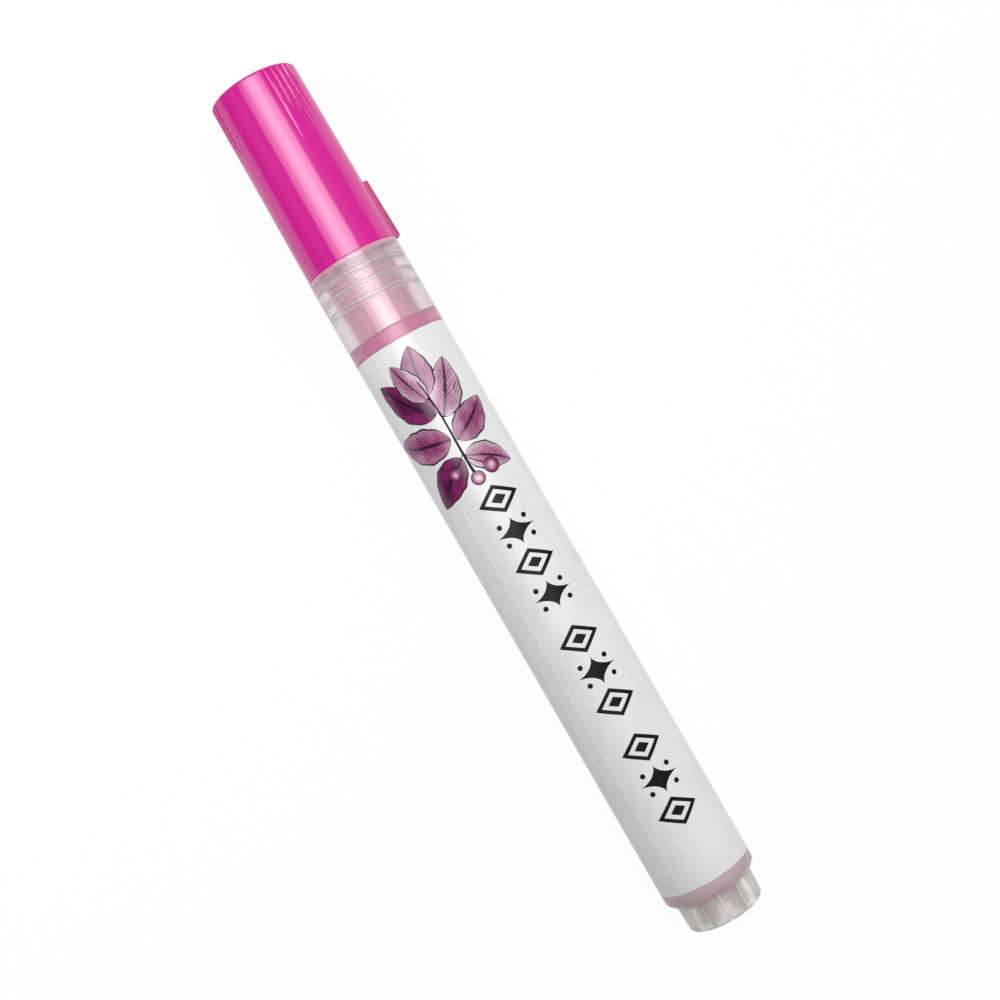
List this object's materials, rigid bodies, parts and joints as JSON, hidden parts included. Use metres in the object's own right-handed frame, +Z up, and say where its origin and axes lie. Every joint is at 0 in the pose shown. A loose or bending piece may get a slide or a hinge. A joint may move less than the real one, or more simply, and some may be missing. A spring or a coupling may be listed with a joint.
{
  "type": "nail art pen",
  "caption": "Capped nail art paint pen: fluted cap with an anti-roll rib, clear front section, labelled barrel and hollow ribbed tail, with a spring valve behind its fibre nib.",
  "frame": {"origin": "on the surface that the pen lies on, under its axis, halfway between the tail's end face and the cap's closed end", "axes": "+X along the pen's axis, from the tail towards the cap; +Z up from the surface that the pen lies on; -Y towards the side with the cap's anti-roll rib"},
  "size_m": [0.1436, 0.0158, 0.015],
  "materials": {
    "cap_plastic": "gloss",
    "clear_plastic": "gloss",
    "barrel_plastic": "satin",
    "label_film": "gloss",
    "inner_plastic": "satin",
    "seal_rubber": "matte",
    "nib_fibre": "matte",
    "steel": "polished",
    "paint": "gloss"
  },
  "bodies": {
    "pen": {"barrel": "barrel_plastic", "label": "label_film", "front_section": "clear_plastic", "neck_gasket": "seal_rubber", "valve_seal": "seal_rubber", "valve_housing": "inner_plastic", "valve_spring": "steel", "paint": "paint"},
    "cap": {"cap": "cap_plastic", "cap_liner": "inner_plastic"},
    "nib": {"nib": "nib_fibre", "valve_stem": "inner_plastic"},
    "mixing_ball": {"mixing_ball": "steel"}
  },
  "joints": [
    {"name": "cap_pull", "type": "slide", "parent": "pen", "child": "cap", "axis": [1, 0, 0], "range_m": [0, 0.035]},
    {"name": "nib_press", "type": "slide", "parent": "pen", "child": "nib", "axis": [-1, 0, 0], "range_m": [0, 0.002], "stiffness_N_per_m": 300, "springref_m": -0.002, "deforming": ["valve_spring"]},
    {"name": "ball_roll", "type": "slide", "parent": "pen", "child": "mixing_ball", "axis": [1, 0, 0], "range_m": [-0.015, 0.073], "deforming": ["paint"]}
  ]
}
